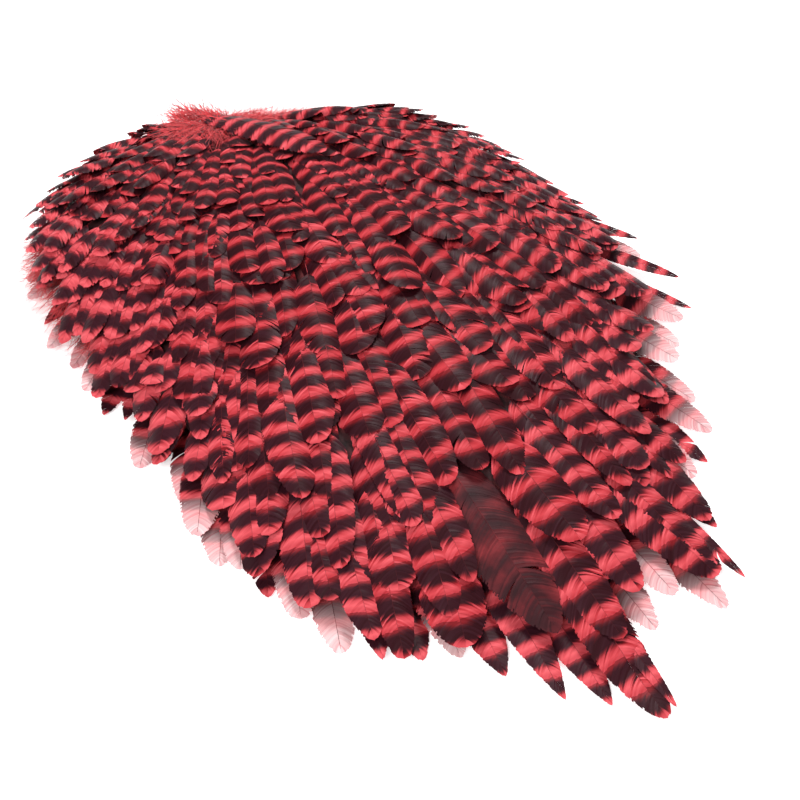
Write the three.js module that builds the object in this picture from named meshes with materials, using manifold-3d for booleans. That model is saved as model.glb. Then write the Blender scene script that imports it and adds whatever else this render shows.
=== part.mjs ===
// Hen saddle patch: a piece of dried skin with its coat of barred feathers, lying on its flat side.
// Origin on the underside below the crown of the dome, +Y towards the neck, +Z up.
// Bearings are counted at the crown, from the tail round by the right flank.
import * as THREE from 'three';
import { mergeVertices } from 'three/addons/utils/BufferGeometryUtils.js';
import Module from 'manifold-3d';

const wasm = await Module();
wasm.setup();

// Driving dimensions in millimetres, bearings and turns in degrees

// Reach of the feather tips from the crown, every 15 degrees
const RIM_REACH = [
  116, 113, 95, 86, 80, 76, 69, 66, 67, 67, 67, 68,
  70, 77, 79, 80, 77, 69, 62, 62, 65, 74, 91, 103,
];
const NECK = new THREE.Vector2(0, 65);        // the feathers fan out from this point on the neck edge
const CROWN_HEIGHT = 25;
const COAT_EDGE_HEIGHT = 5.6;
const TAIL_SLOPE = { round: 1.6, full: 1.1 }; // the coat thins out slowly towards the tail
const NECK_SLOPE = { round: 3, full: 0.7 };   // and stays full up to the neck edge

const SKIN_SHARE = 0.78;                      // skin edge, as a share of the way from neck to tips
const SKIN_FACETS = { around: 48, rings: 8 };
const DOWN_DEPTH = 3.2;                       // top of the down below the top of the coat

const COAT_FAN = { left: -165, right: 160 };  // bearings between which the coat grows
const COAT_ROWS = { count: 8, first: 0.06, last: 0.74 };
const COAT_FEATHER = { length: 33, width: 19, ridge: 1.5, keel: 2.6, fullest: 1.3 };
const COAT_SPACING = 17.4;
const COAT_LENGTHS = { shortest: 0.85, longest: 1.15 };
const COAT_SINK = 4;                          // root of a coat feather below its tip
const COAT_LIFT = 0.8;                        // least that a tip stands proud, and twice that at most
const COAT_REACH = 0.94;                      // no coat tip goes past this share of neck to tips
const COAT_UNDERSIDE = 4;                     // lowest point of the coat outside the skin

const RIM_FAN = { left: -122, right: 106 };   // bearings between which the long rim feathers grow
const RIM_FEATHER = { length: 34, width: 7.8, ridge: 0.6, keel: 0.6, fullest: 0.8 };
const RIM_SPACING = 8.2;
const RIM_LEVELS = [1.1, 2.9];                // two layers, so that neighbours cross without touching
const RIM_ROOT = 0.74;                        // they start under the coat, at the wall of the skin
const RIM_TIP = { shortest: 0.96, longest: 1.03 };
const SPIKES = { bearings: [5, 20, 64, 72, 84, 98], within: 2.2, tip: 1.05, slim: 0.6 };

const STRAY_FEATHER = { width: 11, ridge: 0.9, keel: 0.9, fullest: 0.9 };
const STRAY_ROOT = new THREE.Vector2(-15, 68);
const STRAY_TIP = new THREE.Vector2(8, 24);
const STRAY_RISE = 0.6;                       // middle of the stray feather above the coat

const DARK_FEATHER = { width: 13, ridge: 0.7, keel: 0.7, fullest: 1 };
const DARK_ROOT = new THREE.Vector2(-4, -60);
const DARK_TIP = new THREE.Vector2(0, -104);
const DARK_RISE = -1.2;

const FEATHER_FACETS = { around: 4, rings: 5 };
const FEATHER_BLUNTNESS = 0.6;                // 1 is a sine outline, less is blunter at both ends
const GAP = 0.3;                              // between neighbouring pieces
const END_ROOM = 6;                           // gaps left beyond the pointed ends of a loose feather
const SLIVER = 0.12;                          // facets thinner than this are merged
const FAN_STEPS = 360;
const FEWEST_IN_ROW = 4;

const BARRED_RED = 0x9a2a30;
const PLAIN_MAROON = 0x38121a;
const ROUGHNESS = 0.6;

const { clamp, degToRad, euclideanModulo, lerp, radToDeg } = THREE.MathUtils;

// A repeatable number from 0 to 1 for a feather's number and one of its traits
function chance(number, trait) {
  const wave = Math.sin(number * 12.9898 + trait * 78.233) * 43758.5453;
  return wave - Math.floor(wave);
}

// Reach of the tips at a bearing, on a smooth curve through RIM_REACH
function rimReach(bearing) {
  const count = RIM_REACH.length;
  const place = euclideanModulo(bearing / (2 * Math.PI), 1) * count;
  const first = Math.floor(place);
  const f = place - first;
  const [a, b, c, d] = [-1, 0, 1, 2].map((k) => RIM_REACH[(first + k + count) % count]);
  return b + 0.5 * f * (c - a + f * (2 * a - 5 * b + 4 * c - d + f * (3 * (b - c) + d - a)));
}

function rimPoint(bearing) {
  const reach = rimReach(bearing);
  return new THREE.Vector2(reach * Math.sin(bearing), -reach * Math.cos(bearing));
}

// A point at a share of the way from the neck to the tips
function lanePoint(bearing, share) {
  return rimPoint(bearing).sub(NECK).multiplyScalar(share).add(NECK);
}

// Height of the top of the coat
function coatHeight(place) {
  const bearing = Math.atan2(place.x, -place.y);
  const share = Math.min(place.length() / rimReach(bearing), 1);
  const towardsNeck = (1 - Math.cos(bearing)) / 2;
  const round = lerp(TAIL_SLOPE.round, NECK_SLOPE.round, towardsNeck);
  const full = lerp(TAIL_SLOPE.full, NECK_SLOPE.full, towardsNeck);
  return lerp(COAT_EDGE_HEIGHT, CROWN_HEIGHT, (1 - share ** round) ** full);
}

// Bearings that part a fan's rim into equal lengths of about the given spacing, at the middle of each
function fanBearings(fan, spacing) {
  const start = degToRad(fan.left);
  const step = (degToRad(fan.right) - start) / FAN_STEPS;
  const walked = [0];
  for (let i = 1; i <= FAN_STEPS; i += 1) {
    const stride = rimPoint(start + i * step).distanceTo(rimPoint(start + (i - 1) * step));
    walked.push(walked[i - 1] + stride);
  }
  const whole = walked[FAN_STEPS];
  const count = Math.max(FEWEST_IN_ROW, Math.round(whole / spacing));
  return Array.from({ length: count }, (_, i) => {
    const wanted = ((i + 0.5) / count) * whole;
    return start + step * walked.findIndex((length) => length >= wanted);
  });
}

// A sphere's facets, each vertex moved to place(direction, share), with share from pole to pole
function reshapedSphere(around, rings, place) {
  const sphere = new THREE.SphereGeometry(1, around, rings).rotateX(Math.PI / 2);
  sphere.deleteAttribute('normal');
  sphere.deleteAttribute('uv');
  const shape = mergeVertices(sphere);
  const position = shape.attributes.position;
  const from = new THREE.Vector3();
  for (let i = 0; i < position.count; i += 1) {
    from.fromBufferAttribute(position, i);
    const share = Math.acos(clamp(from.z, -1, 1)) / Math.PI;
    const to = place(new THREE.Vector2(from.x, from.y).normalize(), share);
    position.setXYZ(i, to.x, to.y, to.z);
  }
  return shape;
}

function solid(geometry) {
  const vertProperties = Float32Array.from(geometry.attributes.position.array);
  const triVerts = Uint32Array.from(geometry.index.array);
  return new wasm.Manifold(new wasm.Mesh({ numProp: 3, vertProperties, triVerts }));
}

function geometryOf(manifold) {
  const mesh = manifold.getMesh();
  const geometry = new THREE.BufferGeometry();
  geometry.setAttribute('position', new THREE.BufferAttribute(mesh.vertProperties, 3));
  geometry.setIndex(new THREE.BufferAttribute(mesh.triVerts, 1));
  geometry.computeVertexNormals();
  return geometry;
}

// A body over the outline pointAt(bearing, share), with a top, an upright wall and a flat underside
function pad(pointAt, topAt, bottom) {
  const { around, rings } = SKIN_FACETS;
  const wallRing = rings / 2;
  return solid(reshapedSphere(around, rings, (direction, share) => {
    const ring = share * rings;
    const below = ring > wallRing + 0.5;
    const outward = below ? (rings - ring) / (wallRing - 1) : ring / wallRing;
    const place = pointAt(Math.atan2(direction.x, -direction.y), outward);
    return new THREE.Vector3(place.x, place.y, below ? bottom : topAt(place));
  }));
}

// The skin with its down, or room for it with a gap all round
function skin(gap) {
  const middle = NECK.clone().multiplyScalar(1 - SKIN_SHARE);
  const pointAt = (bearing, outward) => {
    const spoke = rimPoint(bearing).multiplyScalar(SKIN_SHARE);
    return spoke.setLength((spoke.length() + gap) * outward).add(middle);
  };
  return pad(pointAt, (place) => coatHeight(place) - DOWN_DEPTH + gap, -gap);
}

// A flat spindle from root to tip with a ridge above and a keel below
function featherForm(root, tip, size, heightAt) {
  const ahead = tip.clone().sub(root).normalize();
  const side = new THREE.Vector2(ahead.y, -ahead.x);
  const { around, rings } = FEATHER_FACETS;
  return solid(reshapedSphere(around, rings, (direction, share) => {
    const halfWidth = (size.width / 2) * Math.sin(Math.PI * share ** size.fullest) ** FEATHER_BLUNTNESS;
    const middle = root.clone().lerp(tip, share);
    const place = middle.clone().addScaledVector(side, halfWidth * direction.x);
    const thick = direction.y * (direction.y > 0 ? size.ridge : size.keel);
    return new THREE.Vector3(place.x, place.y, heightAt(middle, share) + thick);
  }));
}

// One form of the coat: its root in the down, its tip standing a little proud
function coatFeather(bearing, rootShare, number) {
  const root = lanePoint(bearing, rootShare);
  const room = rimPoint(bearing).distanceTo(NECK) * (COAT_REACH - rootShare);
  const grown = COAT_FEATHER.length * lerp(COAT_LENGTHS.shortest, COAT_LENGTHS.longest, chance(number, 1));
  const length = Math.min(grown, room);
  const ahead = root.clone().sub(NECK).setLength(length);
  const tip = root.clone().add(ahead);
  const rise = COAT_SINK + COAT_LIFT * (1 + chance(number, 2));
  const lowest = COAT_UNDERSIDE + COAT_FEATHER.keel;
  return featherForm(root, tip, COAT_FEATHER, (middle, share) => {
    const height = coatHeight(middle) - COAT_FEATHER.ridge - COAT_SINK + rise * share;
    return Math.max(height, lowest);
  });
}

function coat() {
  const forms = [];
  for (let row = 0; row < COAT_ROWS.count; row += 1) {
    const share = lerp(COAT_ROWS.first, COAT_ROWS.last, row / (COAT_ROWS.count - 1));
    fanBearings(COAT_FAN, COAT_SPACING / share).forEach((bearing) => {
      forms.push(coatFeather(bearing, share, forms.length));
    });
  }
  return forms;
}

// The skin with its coat, trimmed to the outline, without the sealed hollows between the forms
function hide(roomForLooseFeathers) {
  const whole = coat().reduce((grown, form) => grown.add(form), skin(0));
  const withinRim = (bearing, outward) => rimPoint(bearing).multiplyScalar(outward);
  const trim = pad(withinRim, () => 2 * CROWN_HEIGHT, -GAP);
  const cut = roomForLooseFeathers.reduce((left, room) => left.subtract(room), whole.intersect(trim));
  const surfaces = cut.simplify(SLIVER).decompose();
  return surfaces.reduce((a, b) => (a.volume() > b.volume() ? a : b));
}

function rimFeather(bearing, number, besideSkin) {
  const spike = SPIKES.bearings.some((place) => Math.abs(radToDeg(bearing) - place) < SPIKES.within);
  const root = lanePoint(bearing, RIM_ROOT);
  const share = lerp(RIM_TIP.shortest, RIM_TIP.longest, chance(number, 3));
  const tip = lanePoint(bearing, spike ? SPIKES.tip : share);
  const slim = Math.min(1, root.distanceTo(tip) / RIM_FEATHER.length) * (spike ? SPIKES.slim : 1);
  const size = { ...RIM_FEATHER, width: RIM_FEATHER.width * slim };
  const level = RIM_LEVELS[number % RIM_LEVELS.length];
  return featherForm(root, tip, size, () => level).subtract(besideSkin);
}

// A feather that lies in the coat, or room for it with a gap all round
function looseFeather(root, tip, size, rise, gap) {
  const grown = {
    ...size,
    width: size.width + 2 * gap,
    ridge: size.ridge + gap,
    keel: size.keel + gap,
  };
  const ahead = tip.clone().sub(root).setLength(END_ROOM * gap);
  const from = root.clone().sub(ahead);
  const to = tip.clone().add(ahead);
  return featherForm(from, to, grown, (middle) => coatHeight(middle) + rise);
}

const patch = new THREE.Group();
patch.name = 'hen_saddle_patch';

function addPiece(name, manifold, color) {
  const finish = new THREE.MeshStandardMaterial({ color, roughness: ROUGHNESS, metalness: 0 });
  const piece = new THREE.Mesh(geometryOf(manifold), finish);
  piece.name = name;
  patch.add(piece);
}

const strayFeather = (gap) => looseFeather(STRAY_ROOT, STRAY_TIP, STRAY_FEATHER, STRAY_RISE, gap);
const darkFeather = (gap) => looseFeather(DARK_ROOT, DARK_TIP, DARK_FEATHER, DARK_RISE, gap);

addPiece('hide', hide([strayFeather(GAP), darkFeather(GAP)]), BARRED_RED);
addPiece('stray_feather', strayFeather(0), BARRED_RED);
addPiece('dark_feather', darkFeather(0), PLAIN_MAROON);

const besideSkin = skin(GAP);
fanBearings(RIM_FAN, RIM_SPACING).forEach((bearing, i) => {
  const name = `rim_feather_${String(i + 1).padStart(2, '0')}`;
  addPiece(name, rimFeather(bearing, i, besideSkin), BARRED_RED);
});

export default patch;
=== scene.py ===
import math
from dataclasses import dataclass

import bmesh
import bpy
import numpy as np
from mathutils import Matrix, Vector, noise


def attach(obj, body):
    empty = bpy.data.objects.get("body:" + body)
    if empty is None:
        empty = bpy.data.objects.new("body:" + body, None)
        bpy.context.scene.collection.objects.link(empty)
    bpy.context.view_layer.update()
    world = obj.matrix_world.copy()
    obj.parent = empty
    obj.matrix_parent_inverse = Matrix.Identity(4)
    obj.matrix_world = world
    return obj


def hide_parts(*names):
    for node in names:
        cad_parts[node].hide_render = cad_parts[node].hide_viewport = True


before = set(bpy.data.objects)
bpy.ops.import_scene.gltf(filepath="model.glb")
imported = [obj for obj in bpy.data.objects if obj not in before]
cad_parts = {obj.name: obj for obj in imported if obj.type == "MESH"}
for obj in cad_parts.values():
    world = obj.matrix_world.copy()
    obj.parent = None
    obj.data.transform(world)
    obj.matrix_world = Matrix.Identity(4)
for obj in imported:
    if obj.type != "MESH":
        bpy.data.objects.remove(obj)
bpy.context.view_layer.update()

MM = 0.001
SEED = 11
RIM_SEED = 1000
NUMBER_STEP = 12.9898                 # the solids' own chance is a tall wave read at these steps
TRAIT_STEP = 78.233
WAVE_HEIGHT = 43758.5453

# The patch in plan, as in the solids: its reach from the crown of the dome every 15 degrees,
# with bearings counted from the tail and positive towards +X.
RIM_REACH = np.array([116, 113, 95, 86, 80, 76, 69, 66, 67, 67, 67, 68,
                      70, 77, 79, 80, 77, 69, 62, 62, 65, 74, 91, 103], float)
NECK = np.array([0.0, 65.0])          # the feathers fan out from this point on the neck edge
CROWN_HEIGHT = 25.0
COAT_EDGE_HEIGHTS = (3.4, 5.6)        # at the tail and at the neck
TAIL_SLOPE = (1.6, 1.1)               # roundness and fullness of the dome
NECK_SLOPE = (3.0, 0.7)
FLOOR_CLEARANCE = 0.25
FAN_STEPS = 360

# The skin and the mat of down on it, which lies a little under the coat's surface.
SKIN_SHARE = 0.84                     # skin edge, as a share of the way from neck to rim
SKIN_SEGMENTS = (96, 40)
SKIN_EDGE_HEIGHT = 0.8
DOWN_DEPTH = 3.4
TUFT_SCALE = 0.35
TUFT_HEIGHT = 0.5
UPPER_HALF = 0.01                     # the ball's points above this make the mat
UNDERSIDE_TILT = -0.5                 # faces whose normals point lower than this are bare skin

# The coat: rows of feathers that grow along lanes from the neck to the rim.
COAT_FAN = (-168.0, 164.0)
COAT_FIRST_SHARE = 0.03
COAT_LAST_SHARE = 0.75
COAT_ROW_STEP = 0.062
ROW_JITTER = (-0.5, 0.5)
LONGEST_LANE = 182.0
FULL_LANE = 118.0                     # on shorter lanes the coat is sparser
NECK_SIZE = 0.46
SMALLEST_SIZE = 0.45
COAT_LENGTH = 50.0
COAT_WIDTH = 15.0
COAT_SPACING = 0.60
COAT_TIP_LIMIT = (0.82, 0.96)
# Stretches of bearings where the coat reaches further, and by what share of its lane.
COAT_REACHES = ((-175.0, -80.0, 0.04), (13.0, 36.0, 0.05), (-22.0, -9.0, 0.07), (-1.0, 9.0, 0.12))
# Bearings and shares of lanes at which a feather is set where the rows leave the skin bare.
BARE_SPOTS = ((10.5, 0.33), (15.5, 0.32), (13.0, 0.35))
COAT_GROUPS = {"neck_coat": (0.0, 0.30), "back_coat": (0.30, 0.50),
               "rump_coat": (0.50, 0.63), "tail_coat": (0.63, 1.0)}

# How much the coat's feathers differ from each other by chance.
COAT_LENGTHS = (0.84, 1.16)
COAT_WIDTHS = (0.82, 1.18)
COAT_PERIODS = (0.88, 1.12)
COAT_FULLEST = (1.35, 1.8)
COAT_SHARPNESS = (0.33, 0.46)
COAT_FIRST_BAR = (0.17, 0.09)
COAT_SHADES = (0.0, 0.34)
COAT_DROOPS = (0.4, 1.6)
COAT_CAMBERS = (0.5, 0.75)
COAT_TURN = 6.0                       # degrees off the lane
COAT_ROLL = 0.12
COAT_BEND = 0.04
COAT_VANE_START = 0.3
COAT_BARB_SPACING = 0.44
COAT_ROOT_RISE = -3.2
COAT_TIP_RISE = 0.6
COAT_TIP_SPREAD = 0.5
PROUD_SHARE = 0.16                    # some feathers stand proud of their row
PROUD_RISE = 1.3
FLATTEST_SIZE = 1.32                  # a feather of this size would have no camber

# Where the coat changes: the value at which a change starts, and the step over which it grows.
OUTER_COAT = (0.42, 0.26)             # shares of the lane
SOFT_BEARINGS = (75.0, 45.0)          # the flanks and shoulders
SOFT_SHARES = (0.25, 0.3)
NECK_SHARES = (0.0, 0.3)

# What changes there: feathers lie calmer towards the rim, are slim at the tail and soft on the flanks.
CALM = 0.6
# Partly painted light: towards the rim the coat is lighter in place of light through its thin vanes, and
# the middle is left darker as painted shade; at the flanks and the neck it is lighter in its own tone.
RIM_TONE_AND_PAINTED_LIGHT = (0.3, 0.32)             # at the tail, and more at the flanks
LIGHTER_FLANKS = 0.2
LIGHTER_NECK = 0.22
TAIL_SLIM = 0.27
TAIL_FULLEST = 0.28
TAIL_POINT = 0.05
FLANK_WIDTH = 0.1
FLANK_RISES = (3.0, 1.8)              # left and right
FLANK_FLATNESS = 0.4
RIM_FEWER_SPLITS = 0.7
COAT_RAGGED = (0.04, 0.04, 0.2)       # anywhere, more at the rim, more on the flanks
COAT_THIN = (0.1, 0.3)                # at the rim, and more on the flanks
COAT_BLUR = (0.012, 0.03)             # anywhere, and more on the flanks

# A patch of the back where the coat is ruffled.
RUFFLED = np.array([17.0, 4.0])
RUFFLED_REACH = 16.0
RUFFLE = 0.9

# The rim feathers, which lie under the coat's edge and reach past it.
RIM_FAN = (-122.0, 106.0)
RIM_SPACING = 8.2
RIM_LENGTH = 34.0
RIM_WIDTH = 9.5
RIM_ROOT_SHARE = 0.74
RIM_TIP_SHARE = (0.96, 1.03)
RIM_TIP_TRAIT = 3                     # the trait whose chance sets a tip in the solids
RIM_LEVELS = (1.1, 2.9)
RIM_ROOT_RISE = 1.6
RIM_FULLEST = (0.85, 1.15)
RIM_SHARPNESS = (0.58, 0.75)
RIM_FIRST_BAR = (0.0, 0.3)
RIM_PERIOD = 0.9                      # of the coat's
RIM_ROLL = 0.05
RIM_TRAITS = {"vane_start": 0.15, "on_coat": False, "droop": 0.4, "camber": 0.16, "splits": 0.3}
SPIKE_BEARINGS = (5.0, 20.0, 64.0, 72.0, 84.0, 98.0)
SPIKE_WITHIN = 2.2
SPIKE_TIP_SHARE = 1.05
SPIKE_SLIM = 0.5
PALE_SHARE = 0.5                      # of the rim feathers fade to a pale tip, and more by the tail
PALE_TAIL = (24.0, 62.0)
PALE_TAIL_SHARE = 0.85
PALE_FULLEST = 0.35
PALE_ROUND = 0.17
BARRED_VANE = {"pale": False, "barb_spacing": 0.42, "streaks": 0.2, "quill": 1.0}
PALE_VANE = {"pale": True, "barb_spacing": 0.3, "streaks": 0.12, "quill": 1.3}
# Partly painted light: the barred rim feathers are lighter than the coat, partly in their own tone and
# partly in place of light through their thin vanes.
BARRED_VANE_TONE_AND_GLOW = (0.6, 1.0)
PALE_VANE_SHADES = (0.4, 0.6)
SOFT_RIM = -70.0                      # rim feathers at lower bearings have soft edges, as pale ones do
FIRM_EDGE = {"ragged": 0.06, "thin": 0.04}
SOFT_EDGE = {"ragged": 0.12, "thin": 0.22}

# The two loose feathers, from root to tip, and the gap in the coat that shows the dark one.
STRAY_ENDS = (np.array([-15.0, 68.0]), np.array([8.0, 24.0]))
STRAY_TRAITS = {"width": 11.0, "fullest": 1.35, "sharpness": 0.45, "vane_start": 0.16, "barb_spacing": 0.44,
                "period": 4.9, "first_bar": 0.25, "shade": 0.6, "rise": (1.2, 1.6), "droop": 0.6,
                "camber": 0.26, "ragged": 0.15}
DARK_ENDS = (np.array([-4.0, -60.0]), np.array([0.0, -104.0]))
DARK_TRAITS = {"width": 14.0, "fullest": 1.1, "sharpness": 0.55, "vane_start": 0.05, "barb_spacing": 0.42,
               "period": 7.0, "first_bar": 0.3, "shade": 0.4, "rise": (-3.0, -0.6), "droop": 0.5,
               "camber": 0.14, "ragged": 0.1}
DARK_GAP = (0.30, 0.95)
DARK_GAP_WIDTH = 14.0
OUTER_PARTS = (0.7, 0.85, 1.0)

# A feather's arch, its barbs and its shaft.
ARCH_POWER = 0.8
DROOP_POWER = 4
FEWEST_BARBS = 8
BARB_STATIONS = np.array([0.0, 0.28, 0.55, 0.8, 1.0])
BARB_SWEEP = 0.55                     # of the vane's width, and at most a share of its length
MOST_SWEEP = 0.3
BARB_BOW = (0.5, 0.24)                # where a barb bends, across and along
BARB_COVER = 1.2                      # neighbours overlap
BARB_TILT = 0.016
BARB_LIFT = 0.02
THIN_FROM = 0.5
THIN_AT_SHAFT = 0.35
SPLIT_PLACES = (0.2, 0.9)
SPLIT_REACH = 0.05
SPLIT_LEAN = (0.006, 0.022)
SHAFT_END = 0.96
SHAFT_SPAN = (0.12, 0.97)
SHAFT_STATIONS = 9
SHAFT_WIDTH = (0.18, 0.05)
SHAFT_LIFT = 0.05
SHAFT_SLOPE = 0.01

# The markings: a feather's bars are counted from its tip along the map's first axis.
# The map's second axis holds the shade of the barb, in one band for each kind of feather.
MARKING_MAP = "Markings"
BAKE_MAP = "OFBake"
MOST_BARS = 16.0
BAR_PERIOD = (3.2, 6.7)               # for the smallest and the largest feathers
FLANK_STRETCH = 0.26
BAR_BOW = -0.05
TIP_BOW = 0.5
BAR_WAVE = 0.05
BAR_WAVES = (1.5, 4.0)
BARRED_SHADES = (0.03, 0.43)
PALE_SHADES = (0.49, 0.89)
PALE_ROW = 0.46
SHAFT_SHADE = 0.96
SHAFT_SHADE_STEP = 0.01
SHAFT_ROW = 0.925
SHADE_WIDTH = 0.004
MAP_MARGIN = 0.002

# Strands of down.
STRAND_STATIONS = 6
STRAND_WIDTH = 0.16
STRAND_WANDER = (0.35, 0.25)
WANDER_SHARE = 0.6
STRAND_TWIST = 0.4
STRAND_TAPER = 0.8
STRAND_SHADES = (0.03, 0.97)
TINY = 1e-9

# Where loose down shows: the bearings of each stretch of the rim and the number of strands there.
# Each kind of down has its sideways spread, its slope's middle and spread, and its lengths.
DOWN_STRETCHES = ((-172.0, -112.0, 2600), (-128.0, -84.0, 2000),
                  (112.0, 160.0, 800), (160.0, 195.0, 1500))
SHOULDER_SHARES = (0.78, 0.91)
SHOULDER_LOWEST = 0.4
SHOULDER_DOWN = {"spread": 0.3, "dip": (-0.08, 0.22), "lengths": (3.0, 9.0)}
NECK_WALL = (150.0, 204.0)
NECK_WALL_STRANDS = 6500
NECK_WALL_SHARES = (0.4, 0.9)
NECK_WALL_DEPTHS = (0.2, 1.1)
NECK_WALL_DOWN = {"spread": 0.4, "dip": (-0.5, 0.3), "lengths": (3.0, 8.0)}
NECK_FLUFF_STRANDS = 2400
NECK_FLUFF_MIDDLE = np.array([-8.0, 58.0])
NECK_FLUFF_REACH = 11.0
NECK_FLUFF_CROWDING = 0.7
NECK_FLUFF_SCATTER = 2.0
NECK_FLUFF_HEIGHTS = (-2.2, 0.5)
NECK_FLUFF_DROP = 1.2                 # past the neck edge it lies lower
NECK_FLUFF_DOWN = {"spread": 0.35, "dip": (0.0, 0.13), "lengths": (3.0, 6.5)}
STRAY_FLUFF_STRANDS = 420
STRAY_FLUFF_ALONG = (-0.02, 0.32)
STRAY_FLUFF_SCATTER = 1.6
STRAY_FLUFF_HEIGHTS = (-0.6, 1.8)
STRAY_FLUFF_DOWN = {"spread": 0.3, "dip": (0.1, 0.16), "lengths": (3.0, 7.0), "width": 0.26}

# Colours of the vanes.
RED_BRIGHT = (0.69, 0.083, 0.097)
RED = (0.535, 0.050, 0.062)
RED_DEEP = (0.24, 0.018, 0.024)
MAROON = (0.085, 0.011, 0.016)
BLACK = (0.034, 0.0055, 0.0096)
PALE_PINK = (0.97, 0.60, 0.60)
SHAFT_BROWN = (0.085, 0.016, 0.018)
BAR_COLOURS = ((0.00, RED), (0.06, RED), (0.18, RED_BRIGHT), (0.31, RED), (0.38, RED_DEEP), (0.43, MAROON),
               (0.48, BLACK), (0.80, BLACK), (0.88, MAROON), (0.945, RED_DEEP))
# Dark barbs are a deeper red, and light ones pinker. The same spans carry the painted light towards the rim
# and the painted shade of the middle.
SHADE_SPANS = {"Red": (0.74, 1.08), "Green": (0.46, 1.3), "Blue": (0.50, 1.3)}

# How the barred vanes change: a range of values, and the values that it is mapped to.
BAR_BALANCE = (0.0, 1.0, 0.8, 1.25)   # light barbs have more red in each bar
PALE_FADE = (0.5, 2.4, 0.86, 0.0)     # from the tip, in bars
DARK_BARBS = (0.06, 0.14, 0.45, 0.0)
VANE_ROUGHNESS = (0.38, 0.50, 0.50, 0.44)
SHAFT_COVER = 0.65
SHAFT_ROUGHNESS = 0.8
VANE_SPECULAR = 0.09
VANE_SHEEN = (0.02, 0.45)

# Colours of the dark feather, the down and the skin, along their clouds or strands.
DARK_COLOURS = ((0.0, (0.016, 0.004, 0.006)), (0.45, (0.040, 0.006, 0.009)),
                (0.75, (0.12, 0.012, 0.016)), (1.0, (0.26, 0.025, 0.03)))
DARK_MOTTLE = (190.0, 4.0)            # scale and detail
DARK_MOTTLE_SHARE = 1.3
DARK_WAVE = 0.14
DARK_SHADE = (0.4, 0.6, -0.2)         # most, share and start
DARK_ROUGHNESS = (0.0, 1.0, 0.5, 0.6)
DARK_SPECULAR = 0.15
DOWN_COLOURS = ((0.0, (0.46, 0.014, 0.020)), (0.4, (0.70, 0.030, 0.040)),
                (0.85, (0.80, 0.060, 0.070)), (1.0, (0.88, 0.15, 0.16)))
DOWN_DARK = (0.0, 0.42, 0.85, 0.0)
DOWN_ROUGHNESS = 0.7
DOWN_SHEEN = 0.2
# Partly painted shade: the mat is darker than down, so gaps in the coat show as shadow.
MAT_COLOURS_AND_PAINTED_SHADE = ((0.3, (0.014, 0.004, 0.005)), (0.55, (0.05, 0.006, 0.008)), (0.8, (0.17, 0.014, 0.018)))
MAT_TUFTS = (420.0, 6.0)
MAT_RELIEF = (0.8, 0.0006)            # strength, and distance in metres
MAT_ROUGHNESS = 0.85
SKIN_COLOURS = ((0.3, (0.30, 0.045, 0.045)), (0.5, (0.50, 0.11, 0.10)), (0.72, (0.62, 0.22, 0.18)))
SKIN_MOTTLE = (55.0, 5.0)
SKIN_CREASES = (260.0, 4.0)
SKIN_CREASE_SHARE = 0.6
SKIN_ROUGHNESS = (0.3, 0.7, 0.42, 0.62)
SKIN_RELIEF = (0.5, 0.0007)
QUILL_PITS = 135.0
QUILL_EDGE = (0.10, 0.30, 1.0, 0.0)
QUILL_SHARE = 0.7
QUILL_BROWN = (0.12, 0.018, 0.018)

# Floor, light and camera, in metres.
WHITE = (1.0, 1.0, 1.0, 1.0)
FLOOR_SIZE = 3.0
FLOOR_COLOUR = (0.92, 0.92, 0.92, 1.0)
FLOOR_ROUGHNESS = 0.9
FLOOR_SPECULAR = 0.1
FLOOR_GLOW = 0.52
SKY_STRENGTH = 0.38
KEY_LIGHT = {"azimuth": 150.0, "elevation": 58.0, "distance": 0.8, "size": 0.25, "power": 5.3}
FILL_LIGHT = {"azimuth": -50.0, "elevation": 50.0, "distance": 0.9, "size": 0.4, "power": 4.8}
CAMERA_TARGET = Vector((0.0, -0.035, 0.0))
CAMERA_AZIMUTH = -25.0
CAMERA_ELEVATION = 48.0
CAMERA_DISTANCE = 0.273
CAMERA_FOV = 36.0
CAMERA_NEAR = 0.01


# The patch in plan


def chance(number, trait):
    """The solids' repeatable chance value between 0 and 1."""
    wave = math.sin(number * NUMBER_STEP + trait * TRAIT_STEP) * WAVE_HEIGHT
    return wave - math.floor(wave)


def rim_reach(bearing):
    """Reach of the rim from the crown at a bearing in radians, on a smooth closed curve."""
    place = np.mod(bearing / (2 * math.pi), 1) * len(RIM_REACH)
    first = np.floor(place).astype(int)
    part = place - first
    a, b, c, d = (RIM_REACH[(first + step) % len(RIM_REACH)] for step in (-1, 0, 1, 2))
    return b + 0.5 * part * (c - a + part * (2 * a - 5 * b + 4 * c - d + part * (3 * (b - c) + d - a)))


def rim_point(bearing):
    reach = rim_reach(bearing)
    return np.stack([reach * np.sin(bearing), -reach * np.cos(bearing)], axis=-1)


def lane_point(bearing, share):
    """A point on the lane from the neck to the rim at a bearing."""
    return NECK + share * (rim_point(bearing) - NECK)


def lane_length(bearing):
    return np.linalg.norm(rim_point(bearing) - NECK, axis=-1)


def blend(ends, share):
    """A value between two ends."""
    return ends[0] + (ends[1] - ends[0]) * share


def coat_height(plan):
    """Height of the coat's surface over points in plan."""
    bearing = np.arctan2(plan[..., 0], -plan[..., 1])
    share = np.minimum(np.linalg.norm(plan, axis=-1) / rim_reach(bearing), 1)
    to_neck = (1 - np.cos(bearing)) / 2
    roundness, fullness = (blend(ends, to_neck) for ends in zip(TAIL_SLOPE, NECK_SLOPE))
    edge = blend(COAT_EDGE_HEIGHTS, to_neck)
    return edge + (CROWN_HEIGHT - edge) * (1 - share ** roundness) ** fullness


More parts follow.
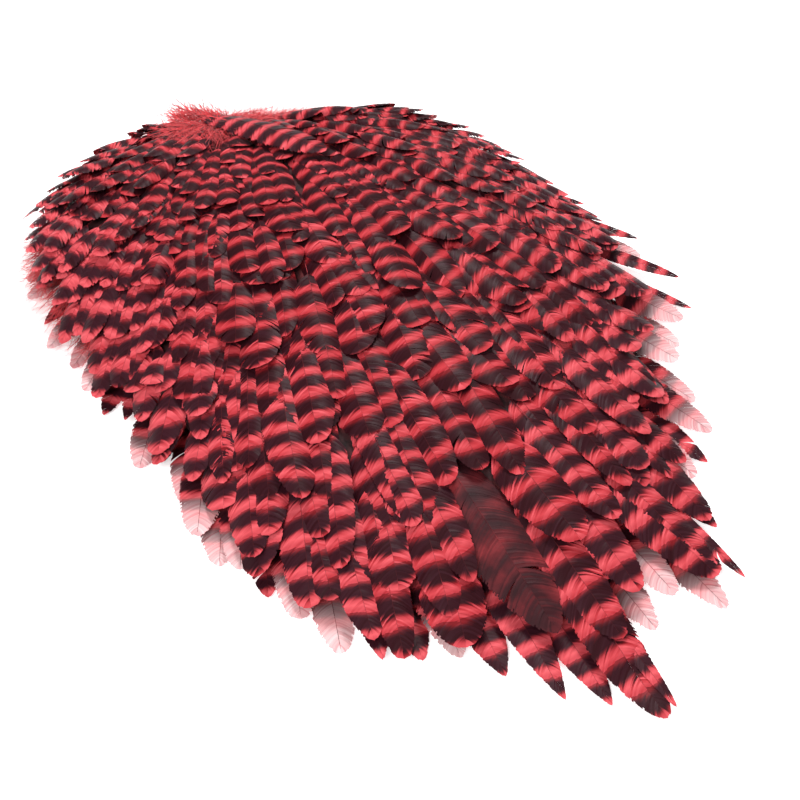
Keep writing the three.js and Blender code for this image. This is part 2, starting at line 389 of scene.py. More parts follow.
def fan_bearings(fan, share, spacing_at):
    """Bearings spread along a row at the spacing that spacing_at gives for each bearing."""
    start, end = np.radians(fan)
    bearings = np.linspace(start, end, FAN_STEPS + 1)
    points = lane_point(bearings, share)
    steps = np.linalg.norm(np.diff(points, axis=0), axis=-1)
    walked = np.concatenate([[0], np.cumsum(steps / spacing_at(bearings[1:]))])
    count = max(2, round(walked[-1]))
    places = (np.arange(count) + 0.5) / count * walked[-1]
    return bearings[np.searchsorted(walked, places)]


def unit(vectors):
    return vectors / np.linalg.norm(vectors, axis=-1, keepdims=True)


def turned(heading, degrees):
    """A heading in plan, turned by an angle."""
    angle = math.radians(degrees)
    cos, sin = math.cos(angle), math.sin(angle)
    return np.array([cos * heading[0] - sin * heading[1], sin * heading[0] + cos * heading[1]])


def growing(value, start, step):
    """Grows from 0 at the start to 1 a step further on."""
    return float(np.clip((value - start) / step, 0, 1))


# Feathers


@dataclass
class Feather:
    """One feather: where it grows in plan, how it lies and how its vane is shaped and marked."""
    root: np.ndarray
    heading: np.ndarray
    length: float
    width: float
    fullest: float
    sharpness: float
    vane_start: float
    barb_spacing: float
    period: float
    first_bar: float
    shade: float
    rise: tuple
    droop: float
    camber: float
    pale: bool = False
    on_coat: bool = True
    roll: float = 0.0
    bend: float = 0.0
    ragged: float = 0.04
    splits: float = 1.0
    thin: float = 0.0
    quill: float = 1.0
    streaks: float = 0.22
    blur: float = 0.012

    def half_width(self, share):
        """Half the vane's width at a share of the length, counted from the root.

        More of fullest moves the widest place to the tip, and more of sharpness narrows both ends.
        """
        return self.width / 2 * np.sin(math.pi * np.clip(share, 0, 1) ** self.fullest) ** self.sharpness

    def place(self, across, along, lift):
        """Turns places on the feather into points of the patch."""
        share = along / self.length
        side = np.array([self.heading[1], -self.heading[0]])
        sway = across + self.bend * self.length * share ** 2
        plan = self.root + along[..., None] * self.heading + sway[..., None] * side
        ground = coat_height(plan) if self.on_coat else 0.0
        arch = blend(self.rise, np.clip(share, 0, 1) ** ARCH_POWER)
        arch = arch - self.droop * np.clip(share, 0, 1) ** DROOP_POWER
        curl = self.camber * across ** 2 / (self.width / 2)
        height = ground + arch + lift - curl + self.roll * across
        return np.concatenate([plan, np.maximum(height, FLOOR_CLEARANCE)[..., None]], axis=-1)

    def bars(self, across, along):
        """Bars counted from the tip: the first follows its rounding, and the others are nearly straight."""
        from_tip = self.length - along
        bow = BAR_BOW + TIP_BOW * np.exp(-np.maximum(from_tip, 0) / self.period)
        return self.first_bar + (from_tip - bow * across ** 2 / (self.width / 2)) / self.period


class Plumage:
    """Gathers the strips that barbs, shafts and down are made of, and joins them into one piece."""

    def __init__(self):
        self.points = []
        self.places = []
        self.quads = []
        self.count = 0

    def add(self, points, places):
        """Adds strips: points and their places on the map, by strip, station and edge."""
        strips, stations = points.shape[:2]
        index = np.arange(strips * stations * 2).reshape(strips, stations, 2) + self.count
        quads = np.stack([index[:, :-1, 0], index[:, :-1, 1], index[:, 1:, 1], index[:, 1:, 0]], axis=-1)
        self.points.append(points.reshape(-1, 3))
        self.places.append(places.reshape(-1, 2))
        self.quads.append(quads.reshape(-1, 4))
        self.count += strips * stations * 2

    def join(self, name, material):
        """Makes the piece. The marking map is kept twice, once for the material and once for the bake."""
        points = np.concatenate(self.points) * MM
        places = np.concatenate(self.places)
        corners = np.concatenate(self.quads)
        mesh = bpy.data.meshes.new(name)
        mesh.vertices.add(len(points))
        mesh.vertices.foreach_set("co", points.ravel())
        mesh.loops.add(corners.size)
        mesh.loops.foreach_set("vertex_index", corners.ravel())
        mesh.polygons.add(len(corners))
        mesh.polygons.foreach_set("loop_start", np.arange(0, corners.size, 4))
        mesh.update(calc_edges=True)
        mesh.polygons.foreach_set("use_smooth", np.ones(len(corners), bool))
        for map_name in (MARKING_MAP, BAKE_MAP):
            layer = mesh.uv_layers.new(name=map_name)
            layer.uv.foreach_set("vector", places[corners.ravel()].ravel())
        mesh.uv_layers[MARKING_MAP].active_render = True
        mesh.materials.append(material)
        return placed(name, mesh)


def placed(name, mesh):
    """An object for a mesh, in the scene."""
    piece = bpy.data.objects.new(name, mesh)
    bpy.context.scene.collection.objects.link(piece)
    return piece


def map_places(bars, shade):
    """Places on the marking map for strips, from the bars at both edges and the shade of each strip."""
    edges = np.broadcast_to(shade + np.array([SHADE_WIDTH, -SHADE_WIDTH]), bars.shape)
    along = np.clip(bars / MOST_BARS, MAP_MARGIN, 1 - MAP_MARGIN)
    return np.stack([along, edges], axis=-1)


def shade_place(feather, spread):
    """Where a barb's shade lies on the marking map."""
    band = PALE_SHADES if feather.pale else BARRED_SHADES
    return blend(band, np.clip(feather.shade + spread, 0, 1))


def add_barbs(plumage, feather, side, rng):
    """One side of a vane: barbs that leave the shaft, sweep to the tip and end on the outline."""
    start = feather.vane_start
    count = max(FEWEST_BARBS, int(feather.length * (SHAFT_END - start) / feather.barb_spacing))
    grid = np.linspace(0, 1, count + 1)
    step = np.stack([grid[:-1], grid[1:]], axis=-1)
    middle = step.mean(axis=-1)
    sweep = min(MOST_SWEEP, BARB_SWEEP * feather.width / feather.length)
    root_share = start + (SHAFT_END - start) * step
    end_share = start + sweep + (1 - start - sweep) * step
    # At a split in the vane the barbs on one side lean back, and on the other side forward.
    for split in rng.uniform(*SPLIT_PLACES, rng.poisson(feather.splits)):
        away = middle - split
        lean = np.sign(away) * np.exp(-np.abs(away) / SPLIT_REACH) * rng.uniform(*SPLIT_LEAN)
        end_share = end_share + lean[:, None]
    end_share = np.clip(end_share, 0, 1)
    root_along = (root_share * feather.length)[:, None, :]
    end_along = (end_share * feather.length)[:, None, :]
    end_across = (side * feather.half_width(end_share))[:, None, :]
    bow_across = BARB_BOW[0] * end_across
    bow_along = root_along + BARB_BOW[1] * (end_along - root_along)
    reach = 1 - feather.ragged * rng.random(count) ** 2
    t = (BARB_STATIONS[None, :] * reach[:, None])[..., None]
    across = 2 * t * (1 - t) * bow_across + t ** 2 * end_across
    along = (1 - t) ** 2 * root_along + 2 * t * (1 - t) * bow_along + t ** 2 * end_along
    # Barbs lie close at the shaft and part towards their ends where the vane is thin.
    thin = feather.thin * np.clip((middle - THIN_FROM) / (1 - THIN_FROM), 0, 1)
    parting = THIN_AT_SHAFT + (1 - THIN_AT_SHAFT) * BARB_STATIONS[None, :]
    cover = BARB_COVER - thin[:, None] * parting
    for edges in (across, along):
        edges[..., 1] = edges[..., 0] + (edges[..., 1] - edges[..., 0]) * cover
    tilt = rng.normal(0.0, BARB_TILT, (count, 1))
    lift = np.stack([-tilt, tilt], axis=-1) + rng.normal(0.0, BARB_LIFT, (count, 1, 1))
    wave = BAR_WAVE * np.sin(2 * math.pi * (middle * rng.uniform(*BAR_WAVES) + rng.random()))
    jitter = wave + rng.normal(0.0, feather.blur, count)
    bars = feather.bars(across, along) + jitter[:, None, None]
    shade = shade_place(feather, rng.normal(0.0, feather.streaks, (count, 1, 1)))
    if side > 0:
        bars = bars[..., ::-1]
        across, along, lift = across[..., ::-1], along[..., ::-1], lift[..., ::-1]
    points = feather.place(across, along, np.broadcast_to(lift, across.shape))
    plumage.add(points, map_places(bars, shade))


def add_shaft(plumage, feather):
    """The shaft: a low roof of two strips from the bare quill to just short of the tip."""
    along = np.linspace(*SHAFT_SPAN, SHAFT_STATIONS) * feather.length
    half = feather.quill * np.linspace(*SHAFT_WIDTH, SHAFT_STATIONS) / 2
    middle = np.zeros(SHAFT_STATIONS)
    ridge_lift = np.full(SHAFT_STATIONS, SHAFT_LIFT)
    edge_lift = ridge_lift - SHAFT_SLOPE
    lengths = np.repeat(along[:, None], 2, axis=-1)
    bars = feather.bars(np.zeros_like(lengths), lengths)
    for side in (-1, 1):
        across = np.stack([middle, side * half][::side], axis=-1)
        lifts = np.stack([ridge_lift, edge_lift][::side], axis=-1)
        points = feather.place(across[None], lengths[None], lifts[None])
        plumage.add(points, map_places(bars[None], SHAFT_SHADE + SHAFT_SHADE_STEP * side))


def add_feather(plumage, feather, rng):
    for side in (-1, 1):
        add_barbs(plumage, feather, side, rng)
    add_shaft(plumage, feather)


def between(ends, **traits):
    """A feather laid from one point to another."""
    root, tip = ends
    length = np.linalg.norm(tip - root)
    return Feather(root=root, heading=(tip - root) / length, length=length, **traits)


# The coat


def growth(share):
    """How far feathers have grown from the neck's size to the tail's at a share of the lane."""
    return blend((NECK_SIZE, 1), np.minimum(share / COAT_LAST_SHARE, 1))


def feather_size(bearing, share):
    """Size of the coat's feathers: small at the neck and the shoulders, full at the tail."""
    return np.maximum(lane_length(bearing) / LONGEST_LANE * growth(share), SMALLEST_SIZE)


def coat_rows():
    """Shares of the lanes at which the coat's rows grow, closer together at the neck."""
    shares = [COAT_FIRST_SHARE]
    while shares[-1] < COAT_LAST_SHARE:
        shares.append(shares[-1] + COAT_ROW_STEP * growth(shares[-1]))
    return shares


def over_dark_feather(feather):
    """Whether a coat feather's outer part would hide the dark feather, which shows in a gap."""
    root, end = DARK_ENDS
    run = end - root
    for part in OUTER_PARTS:
        away = feather.root + part * feather.length * feather.heading - root
        share = np.dot(away, run) / np.dot(run, run)
        aside = abs(run[0] * away[1] - run[1] * away[0]) / np.linalg.norm(run)
        if DARK_GAP[0] < share < DARK_GAP[1] and aside < DARK_GAP_WIDTH / 2:
            return True
    return False


def coat_feather(bearing, share, rng):
    """A feather of the coat, for its place between neck and rim and between tail and flanks."""
    degrees = math.degrees(bearing)
    size = float(feather_size(bearing, share))
    share = share + rng.uniform(*ROW_JITTER) * COAT_ROW_STEP * size
    lane = rim_point(bearing) - NECK
    reach = np.linalg.norm(lane)
    root = NECK + share * lane
    ruffle = 1 + RUFFLE * math.exp(-np.sum((root - RUFFLED) ** 2) / RUFFLED_REACH ** 2)
    heading = turned(lane / reach, rng.normal(0.0, COAT_TURN * ruffle * (1 - CALM * share)))
    outer = growing(share, *OUTER_COAT)
    slim = outer * (1 + math.cos(bearing)) / 2
    soft = growing(abs(degrees), *SOFT_BEARINGS) * growing(share, *SOFT_SHARES)
    near_neck = 1 - growing(share, *NECK_SHARES)
    # Partly painted light: the coat is lighter towards the rim in place of light through the thin outer
    # vanes, which leaves the middle darker as painted shade; the flanks and the neck are lighter in their
    # own tone, with more red in each bar.
    lighter = outer * (RIM_TONE_AND_PAINTED_LIGHT[0] + RIM_TONE_AND_PAINTED_LIGHT[1] * abs(math.sin(bearing)))
    lighter += LIGHTER_FLANKS * soft + LIGHTER_NECK * near_neck
    limit = rng.uniform(*COAT_TIP_LIMIT)
    limit += sum(more for left, right, more in COAT_REACHES if left < degrees < right)
    length = min(COAT_LENGTH * size * rng.uniform(*COAT_LENGTHS), (limit - share) * reach)
    width = COAT_WIDTH * size * rng.uniform(*COAT_WIDTHS)
    width *= (1 - TAIL_SLIM * slim) * (1 + FLANK_WIDTH * soft)
    proud = PROUD_RISE if rng.random() < PROUD_SHARE else 0.0
    stretch = 1 + FLANK_STRETCH * math.sin(bearing) ** 2
    period = blend(BAR_PERIOD, size) * stretch * rng.uniform(*COAT_PERIODS)
    tip_rise = COAT_TIP_RISE + FLANK_RISES[0 if bearing < 0 else 1] * soft
    flatness = (FLATTEST_SIZE - size) * (1 - FLANK_FLATNESS * soft)
    return Feather(
        root=root, heading=heading, length=length, width=width,
        fullest=rng.uniform(*COAT_FULLEST) - TAIL_FULLEST * slim,
        sharpness=rng.uniform(*COAT_SHARPNESS) + TAIL_POINT * slim,
        vane_start=COAT_VANE_START, barb_spacing=COAT_BARB_SPACING,
        period=period, first_bar=rng.normal(*COAT_FIRST_BAR),
        shade=rng.uniform(*COAT_SHADES) + lighter,
        rise=(COAT_ROOT_RISE, rng.normal(tip_rise, COAT_TIP_SPREAD) + proud),
        droop=rng.uniform(*COAT_DROOPS),
        camber=rng.uniform(*COAT_CAMBERS) * flatness,
        roll=rng.normal(0.0, COAT_ROLL * ruffle),
        bend=rng.normal(0.0, COAT_BEND * ruffle),
        splits=1.0 - RIM_FEWER_SPLITS * outer,
        ragged=COAT_RAGGED[0] + COAT_RAGGED[1] * outer + COAT_RAGGED[2] * soft,
        thin=COAT_THIN[0] * outer + COAT_THIN[1] * soft,
        blur=COAT_BLUR[0] + COAT_BLUR[1] * soft)


def grow_coat(rng):
    """The coat's feathers, row by row, in a few pieces."""
    groups = {name: Plumage() for name in COAT_GROUPS}
    for share in coat_rows():
        bearings = fan_bearings(COAT_FAN, share,
                                lambda b: COAT_SPACING * COAT_WIDTH * feather_size(b, share))
        name = next(n for n, (low, high) in COAT_GROUPS.items() if low <= share < high)
        for bearing in bearings:
            feather = coat_feather(bearing, share, rng)
            sparse = rng.random() > lane_length(bearing) / FULL_LANE
            stunted = feather.length < feather.width
            if not (sparse or stunted or over_dark_feather(feather)):
                add_feather(groups[name], feather, rng)
    mender = np.random.default_rng(SEED + 6)
    for bearing, share in BARE_SPOTS:
        add_feather(groups["back_coat"], coat_feather(np.radians(bearing), share, mender), mender)
    return groups


# The rim


def rim_vane(number, bearing):
    """One rim feather in the place of its solid: a barred one, a slim spike, or one with a pale tip."""
    rng = np.random.default_rng(SEED + RIM_SEED + number)
    degrees = math.degrees(bearing)
    spike = any(abs(degrees - one) < SPIKE_WITHIN for one in SPIKE_BEARINGS)
    pale_share = PALE_TAIL_SHARE if PALE_TAIL[0] < degrees < PALE_TAIL[1] else PALE_SHARE
    pale = not spike and rng.random() < pale_share
    tip_share = SPIKE_TIP_SHARE if spike else blend(RIM_TIP_SHARE, chance(number, RIM_TIP_TRAIT))
    root = lane_point(bearing, RIM_ROOT_SHARE)
    tip = lane_point(bearing, tip_share)
    level = RIM_LEVELS[number % 2]
    size = float(lane_length(bearing)) / LONGEST_LANE
    slim = SPIKE_SLIM if spike else 1.0
    kind = PALE_VANE if pale else BARRED_VANE
    edge = SOFT_EDGE if pale or degrees < SOFT_RIM else FIRM_EDGE
    vane = Plumage()
    add_feather(vane, between(
        (root, tip), width=RIM_WIDTH * min(1.0, np.linalg.norm(tip - root) / RIM_LENGTH) * slim,
        fullest=rng.uniform(*RIM_FULLEST) + (PALE_FULLEST if pale else 0.0),
        sharpness=rng.uniform(*RIM_SHARPNESS) - (PALE_ROUND if pale else 0.0),
        period=RIM_PERIOD * blend(BAR_PERIOD, size), first_bar=rng.uniform(*RIM_FIRST_BAR),
        shade=rng.uniform(*(PALE_VANE_SHADES if pale else BARRED_VANE_TONE_AND_GLOW)),
        rise=(level + RIM_ROOT_RISE, level), roll=rng.normal(0.0, RIM_ROLL),
        **RIM_TRAITS, **kind, **edge), rng)
    return vane


def grow_rim():
    bearings = fan_bearings(RIM_FAN, 1.0, lambda b: RIM_SPACING)
    return [rim_vane(number, bearing) for number, bearing in enumerate(bearings)]


# Down


def add_strands(plumage, roots, headings, lengths, rng, width):
    """Loose strands of down, each a thin strip that wanders as it runs out."""
    t = np.linspace(0, 1, STRAND_STATIONS)[None, :, None]
    count = len(roots)
    wander = rng.normal(0.0, STRAND_WANDER[0], (count, 1, 3)) * t ** 2
    wander = wander + rng.normal(0.0, STRAND_WANDER[1], (count, 1, 3)) * t ** 3
    path = roots[:, None, :] + lengths[:, None, None] * (headings[:, None, :] * t + wander * WANDER_SHARE)
    run = np.gradient(path, axis=1)
    side = np.cross(run, np.array([0.0, 0.0, 1.0]) + rng.normal(0, STRAND_TWIST, (count, 1, 3)))
    side = side / (np.linalg.norm(side, axis=-1, keepdims=True) + TINY)
    half = width / 2 * (1 - STRAND_TAPER * t)
    edges = np.stack([path - side * half, path + side * half], axis=2)
    edges[..., 2] = np.maximum(edges[..., 2], FLOOR_CLEARANCE)
    along = np.broadcast_to(t * MOST_BARS, (count, STRAND_STATIONS, 2))
    plumage.add(edges, map_places(along, rng.uniform(*STRAND_SHADES, (count, 1, 1))))


def add_down(plumage, plan, heights, lanes, rng, spread, dip, lengths, width=STRAND_WIDTH):
    """Strands that start over points in plan and run along lanes, spread and dipped by chance."""
    count = len(plan)
    roots = np.concatenate([plan, heights[:, None]], axis=-1)
    level = lanes + rng.normal(0.0, spread, (count, 2))
    headings = unit(np.concatenate([level, rng.normal(*dip, count)[:, None]], axis=-1))
    add_strands(plumage, roots, headings, rng.uniform(*lengths, count), rng, width)


def grow_down(rng):
    """Down that shows along the shoulders and over the wall at the neck."""
    plumage = Plumage()
    for left, right, count in DOWN_STRETCHES:
        bearings = np.radians(rng.uniform(left, right, count))
        plan = lane_point(bearings, rng.uniform(*SHOULDER_SHARES, count)[:, None])
        heights = rng.uniform(SHOULDER_LOWEST, COAT_EDGE_HEIGHTS[1], count)
        add_down(plumage, plan, heights, unit(rim_point(bearings) - NECK), rng, **SHOULDER_DOWN)
    bearings = np.radians(rng.uniform(*NECK_WALL, NECK_WALL_STRANDS))
    plan = lane_point(bearings, rng.uniform(*NECK_WALL_SHARES, NECK_WALL_STRANDS)[:, None])
    heights = coat_height(plan) - DOWN_DEPTH * rng.uniform(*NECK_WALL_DEPTHS, NECK_WALL_STRANDS)
    add_down(plumage, plan, heights, unit(rim_point(bearings) - NECK), rng, **NECK_WALL_DOWN)
    return plumage


def grow_neck_fluff(rng):
    """The red fluff from which the coat fans out at the neck."""
    plumage = Plumage()
    count = NECK_FLUFF_STRANDS
    bearings = np.radians(rng.uniform(-180.0, 180.0, count))
    lanes = unit(rim_point(bearings) - NECK)
    away = NECK_FLUFF_REACH * rng.random((count, 1)) ** NECK_FLUFF_CROWDING
    plan = NECK_FLUFF_MIDDLE + lanes * away + rng.normal(0, NECK_FLUFF_SCATTER, lanes.shape)
    heights = coat_height(plan) + rng.uniform(*NECK_FLUFF_HEIGHTS, count)
    heights = heights - NECK_FLUFF_DROP * (plan[:, 1] > NECK[1])
    add_down(plumage, plan, heights, lanes, rng, **NECK_FLUFF_DOWN)
    return plumage


def grow_stray_fluff(rng):
    """The fluffy foot of the stray feather, which stands out over the neck's edge."""
    plumage = Plumage()
    count = STRAY_FLUFF_STRANDS
    root, tip = STRAY_ENDS
    along = rng.uniform(*STRAY_FLUFF_ALONG, (count, 1))
    plan = root + along * (tip - root) + rng.normal(0.0, STRAY_FLUFF_SCATTER, (count, 2))
    heights = coat_height(plan) + rng.uniform(*STRAY_FLUFF_HEIGHTS, count)
    add_down(plumage, plan, heights, unit(root - tip), rng, **STRAY_FLUFF_DOWN)
    return plumage


# Materials


class Nodes:
    """Adds and links the nodes of one material or node group."""

    def __init__(self, tree):
        self.tree = tree

    def add(self, kind, **settings):
        node = self.tree.nodes.new(kind)
        for setting, value in settings.items():
            setattr(node, setting, value)
        return node

    def join(self, source, target):
        self.tree.links.new(source, target)

    def feed(self, socket, value):
        if isinstance(value, bpy.types.NodeSocket):
            self.join(value, socket)
        else:
            socket.default_value = value

    def math(self, operation, *values):
        node = self.add("ShaderNodeMath", operation=operation)
        for socket, value in zip(node.inputs, values):
            self.feed(socket, value)
        return node.outputs["Value"]

    def span(self, value, low, high, new_low, new_high):
        """Maps a range of values smoothly onto another and holds it at the ends."""
        node = self.add("ShaderNodeMapRange", interpolation_type="SMOOTHSTEP")
        for name, number in (("Value", value), ("From Min", low), ("From Max", high),
                             ("To Min", new_low), ("To Max", new_high)):
            self.feed(node.inputs[name], number)
        return node.outputs["Result"]

    def mix(self, share, first, second, blend_type="MIX"):
        """Mixes two colours."""
        node = self.add("ShaderNodeMix", data_type="RGBA", blend_type=blend_type)
        factor, *_, first_colour, second_colour = (s for s in node.inputs if s.enabled)
        self.feed(factor, share)
        self.feed(first_colour, first)
        self.feed(second_colour, second)
        return next(s for s in node.outputs if s.enabled)

    def ramp(self, share, stops):
        node = self.add("ShaderNodeValToRGB")
        ramp = node.color_ramp
        while len(ramp.elements) < len(stops):
            ramp.elements.new(1.0)
        for element, (place, colour) in zip(ramp.elements, stops):
            element.position = place
            element.color = (*colour, 1.0)
        self.join(share, node.inputs["Fac"])
        return node.outputs["Color"]

    def marking_map(self):
        node = self.add("ShaderNodeUVMap", uv_map=MARKING_MAP)
        split = self.add("ShaderNodeSeparateXYZ")
        self.join(node.outputs["UV"], split.inputs["Vector"])
        return split.outputs["X"], split.outputs["Y"]

    def mottle(self, scale, detail):
        """Places the mottle group with its own scale and detail."""
        node = self.add("ShaderNodeGroup", node_tree=mottle_group)
        node.inputs["Scale"].default_value = scale
        node.inputs["Detail"].default_value = detail
        return node.outputs["Cloud"]


class Material(Nodes):
    """A material's nodes, with its shader."""

    def __init__(self, name):
        self.material = bpy.data.materials.new(name)
        self.material.use_nodes = True
        super().__init__(self.material.node_tree)
        self.shader = self.tree.nodes["Principled BSDF"]

    def set(self, **values):
        """Sets or links the shader's sockets, named with underscores for spaces."""
        for name, value in values.items():
            self.feed(self.shader.inputs[name.replace("_", " ")], value)

    def relief(self, height, strength, distance):
        bump = self.add("ShaderNodeBump")
        bump.inputs["Strength"].default_value = strength
        bump.inputs["Distance"].default_value = distance
        self.join(height, bump.inputs["Height"])
        self.set(Normal=bump.outputs["Normal"])


def make_mottle_group():
    """Clouds on the piece's own coordinates, which the dark feather, the mat and the skin share."""
    group = bpy.data.node_groups.new("mottle", "ShaderNodeTree")
    for name in ("Scale", "Detail"):
        group.interface.new_socket(name, in_out="INPUT", socket_type="NodeSocketFloat")
    group.interface.new_socket("Cloud", in_out="OUTPUT", socket_type="NodeSocketFloat")
    nodes = Nodes(group)
    given = nodes.add("NodeGroupInput")
    result = nodes.add("NodeGroupOutput")
    coords = nodes.add("ShaderNodeTexCoord")
    cloud = nodes.add("ShaderNodeTexNoise")
    nodes.join(coords.outputs["Object"], cloud.inputs["Vector"])
    for name in ("Scale", "Detail"):
        nodes.join(given.outputs[name], cloud.inputs[name])
    nodes.join(cloud.outputs["Fac"], result.inputs["Cloud"])
    return group


def barred_material():
    """Red vanes with black bars, read from the marking map. Pale feathers fade to pink at the tip."""
    nodes = Material("barred feather")
    along, shade_row = nodes.marking_map()
    shaft = nodes.math("GREATER_THAN", shade_row, SHAFT_ROW)
    pale = nodes.math("SUBTRACT", nodes.math("GREATER_THAN", shade_row, PALE_ROW), shaft)
    row_start = nodes.math("MULTIPLY_ADD", pale, PALE_SHADES[0] - BARRED_SHADES[0], BARRED_SHADES[0])
    shade = nodes.math("DIVIDE", nodes.math("SUBTRACT", shade_row, row_start),
                       BARRED_SHADES[1] - BARRED_SHADES[0])
    bars = nodes.math("MULTIPLY", along, MOST_BARS)
    cycle = nodes.math("FRACT", bars)
    balanced = nodes.math("POWER", cycle, nodes.span(shade, *BAR_BALANCE))
    barred = nodes.ramp(balanced, BAR_COLOURS)
    fade = nodes.math("MULTIPLY", nodes.span(bars, *PALE_FADE), pale)
    faded = nodes.mix(fade, barred, (*PALE_PINK, 1.0))
    dark_barb = nodes.math("MULTIPLY", nodes.span(shade, *DARK_BARBS), pale)
    faded = nodes.mix(dark_barb, faded, (*MAROON, 1.0))
    scale = nodes.add("ShaderNodeCombineColor")
    for channel, (low, high) in SHADE_SPANS.items():
        nodes.join(nodes.span(shade, 0.0, 1.0, low, high), scale.inputs[channel])
    shaded = nodes.mix(1.0, faded, scale.outputs["Color"], "MULTIPLY")
    shaft = nodes.math("MULTIPLY", shaft, SHAFT_COVER)
    roughness = nodes.span(cycle, *VANE_ROUGHNESS)
    nodes.set(Base_Color=nodes.mix(shaft, shaded, (*SHAFT_BROWN, 1.0)),
              Roughness=nodes.math("MULTIPLY_ADD", shaft, SHAFT_ROUGHNESS, roughness),
              Specular_IOR_Level=VANE_SPECULAR, Sheen_Weight=VANE_SHEEN[0], Sheen_Roughness=VANE_SHEEN[1])
    return nodes.material


def plain_material():
    """The dark feather: maroon brown with faint cloudy bars."""
    nodes = Material("plain feather")
    along, shade = nodes.marking_map()
    bars = nodes.math("MULTIPLY", along, MOST_BARS)
    wave = nodes.math("SINE", nodes.math("MULTIPLY", bars, 2 * math.pi))
    most, share, start = DARK_SHADE
    cloud = nodes.math("MULTIPLY_ADD", nodes.math("MINIMUM", shade, most), share, start)
    cloud = nodes.math("MULTIPLY_ADD", wave, DARK_WAVE, cloud)
    cloud = nodes.math("MULTIPLY_ADD", nodes.mottle(*DARK_MOTTLE), DARK_MOTTLE_SHARE, cloud)
    nodes.set(Base_Color=nodes.ramp(cloud, DARK_COLOURS), Roughness=nodes.span(shade, *DARK_ROUGHNESS),
              Specular_IOR_Level=DARK_SPECULAR)
    return nodes.material


def down_material():
    """Loose down: deep red at the foot and paler at the end, with dark strands among the red ones."""
    nodes = Material("down")
    along, shade = nodes.marking_map()
    colour = nodes.ramp(along, DOWN_COLOURS)
    nodes.set(Base_Color=nodes.mix(nodes.span(shade, *DOWN_DARK), colour, (*MAROON, 1.0)),
              Roughness=DOWN_ROUGHNESS, Sheen_Weight=DOWN_SHEEN)
    return nodes.material


def mat_material():
    """The mat of down on the skin: its own dark red, painted darker still as the shade in the depth of the
    coat, so gaps between the feathers read as shadow.
    """
    nodes = Material("down mat")
    tufts = nodes.mottle(*MAT_TUFTS)
    nodes.set(Base_Color=nodes.ramp(tufts, MAT_COLOURS_AND_PAINTED_SHADE), Roughness=MAT_ROUGHNESS)
    nodes.relief(tufts, *MAT_RELIEF)
    return nodes.material


def skin_material():
    """The dried skin of the underside: dyed, creased, with the pits of the quills."""
    nodes = Material("dried skin")
    mottle = nodes.mottle(*SKIN_MOTTLE)
    creases = nodes.mottle(*SKIN_CREASES)
    coords = nodes.add("ShaderNodeTexCoord")
    pits = nodes.add("ShaderNodeTexVoronoi", feature="F1")
    pits.inputs["Scale"].default_value = QUILL_PITS
    nodes.join(coords.outputs["Object"], pits.inputs["Vector"])
    quill = nodes.span(pits.outputs["Distance"], *QUILL_EDGE)
    pitted = nodes.math("MULTIPLY", quill, QUILL_SHARE)
    nodes.set(Base_Color=nodes.mix(pitted, nodes.ramp(mottle, SKIN_COLOURS), (*QUILL_BROWN, 1.0)),
              Roughness=nodes.span(mottle, *SKIN_ROUGHNESS))
    nodes.relief(nodes.math("MULTIPLY_ADD", creases, SKIN_CREASE_SHARE, quill), *SKIN_RELIEF)
    return nodes.material


# Pieces


def skin_piece():
    """The skin: a ball flattened into a pad with a flat underside and a domed mat of down on top."""
    form = bmesh.new()
    around, rings = SKIN_SEGMENTS
    bmesh.ops.create_uvsphere(form, u_segments=around, v_segments=rings, radius=1.0)
    for vertex in form.verts:
        outward = math.hypot(vertex.co.x, vertex.co.y)
        bearing = np.float64(math.atan2(vertex.co.x, -vertex.co.y))
        plan = (1 - SKIN_SHARE) * NECK + SKIN_SHARE * outward * rim_point(bearing)
        height = 0.0
        if vertex.co.z > UPPER_HALF:
            tuft = noise.noise(Vector((plan[0], plan[1], 0.0)) * TUFT_SCALE)
            height = max(float(coat_height(plan)) - DOWN_DEPTH + TUFT_HEIGHT * tuft, SKIN_EDGE_HEIGHT)
        vertex.co = Vector((plan[0], plan[1], height)) * MM
    bmesh.ops.recalc_face_normals(form, faces=form.faces)
    for face in form.faces:
        face.smooth = True
        face.material_index = 1 if face.normal.z < UNDERSIDE_TILT else 0
    mesh = bpy.data.meshes.new("skin")
    form.to_mesh(mesh)
    form.free()
    mesh.materials.append(mat_material())
    mesh.materials.append(skin_material())
    return placed("skin", mesh)


def loose_feather(ends, traits, rng):
    plumage = Plumage()
    add_feather(plumage, between(ends, **traits), rng)
    return plumage


def dress(piece, slot, *nodes):
    """Fixes a piece to the patch and hides the solids that it stands for."""
    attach(piece, "root")
    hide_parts(*nodes)


mottle_group = make_mottle_group()
barred = barred_material()
plain = plain_material()
down = down_material()

dress(skin_piece(), "hide", "hide")

for name, plumage in grow_coat(np.random.default_rng(SEED)).items():
    dress(plumage.join(name, barred), "barred_feather", "hide")

for number, plumage in enumerate(grow_rim(), start=1):
    piece = plumage.join(f"rim_vane_{number:02d}", barred)
    dress(piece, "barred_feather", f"rim_feather_{number:02d}")

down_fringe = grow_down(np.random.default_rng(SEED + 1))
dress(down_fringe.join("down_fringe", down), "hide", "hide")

neck_fluff = grow_neck_fluff(np.random.default_rng(SEED + 4))
dress(neck_fluff.join("neck_fluff", down), "hide", "hide")

stray = loose_feather(STRAY_ENDS, STRAY_TRAITS, np.random.default_rng(SEED + 2))
dress(stray.join("stray_vane", barred), "barred_feather", "stray_feather")

stray_fluff = grow_stray_fluff(np.random.default_rng(SEED + 5))
dress(stray_fluff.join("stray_fluff", down), "barred_feather", "stray_feather")

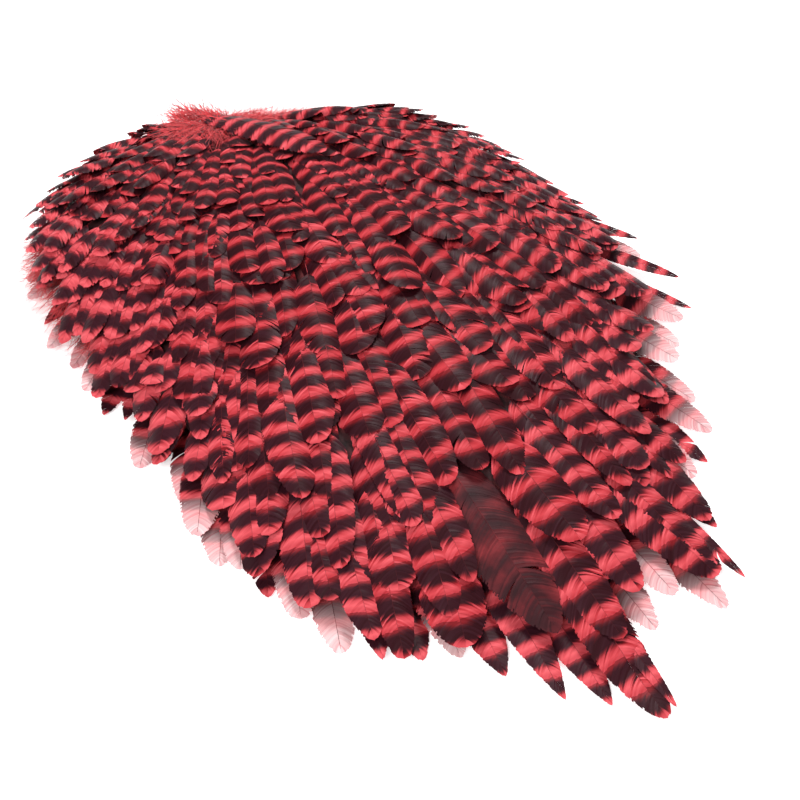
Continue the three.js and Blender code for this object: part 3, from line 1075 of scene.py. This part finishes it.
dark = loose_feather(DARK_ENDS, DARK_TRAITS, np.random.default_rng(SEED + 3))
dress(dark.join("dark_vane", plain), "plain_feather", "dark_feather")


# Floor, light and camera


def direction(azimuth, elevation):
    """Direction to a viewer: azimuth 0 looks along +Y."""
    turn, tilt = math.radians(azimuth), math.radians(elevation)
    return Vector((math.sin(turn) * math.cos(tilt), -math.cos(turn) * math.cos(tilt), math.sin(tilt)))


def aimed(name, data, azimuth, elevation, distance):
    """A light or camera that looks at the target."""
    thing = placed(name, data)
    towards = direction(azimuth, elevation)
    thing.location = CAMERA_TARGET + towards * distance
    thing.rotation_euler = towards.to_track_quat("Z", "Y").to_euler()
    return thing


def add_camera():
    lens = bpy.data.cameras.new("camera")
    lens.sensor_fit = "HORIZONTAL"
    lens.angle = math.radians(CAMERA_FOV)
    lens.clip_start = CAMERA_NEAR
    camera = aimed("camera", lens, CAMERA_AZIMUTH, CAMERA_ELEVATION, CAMERA_DISTANCE)
    bpy.context.scene.camera = camera


def add_light(name, azimuth, elevation, distance, size, power):
    lamp = bpy.data.lights.new(name, "AREA")
    lamp.shape = "DISK"
    lamp.size = size
    lamp.energy = power
    aimed(name, lamp, azimuth, elevation, distance)


def add_floor():
    form = bmesh.new()
    bmesh.ops.create_grid(form, x_segments=1, y_segments=1, size=FLOOR_SIZE)
    mesh = bpy.data.meshes.new("floor")
    form.to_mesh(mesh)
    form.free()
    nodes = Material("pale floor")
    nodes.set(Base_Color=FLOOR_COLOUR, Roughness=FLOOR_ROUGHNESS, Specular_IOR_Level=FLOOR_SPECULAR,
              Emission_Color=WHITE, Emission_Strength=FLOOR_GLOW)
    mesh.materials.append(nodes.material)
    return placed("floor", mesh)


def add_sky():
    world = bpy.data.worlds.new("studio")
    world.use_nodes = True
    sky = world.node_tree.nodes["Background"]
    sky.inputs["Color"].default_value = WHITE
    sky.inputs["Strength"].default_value = SKY_STRENGTH
    bpy.context.scene.world = world


add_camera()
add_sky()
add_light("key", **KEY_LIGHT)
add_light("fill", **FILL_LIGHT)
add_floor()
bpy.context.scene.view_settings.view_transform = "Standard"
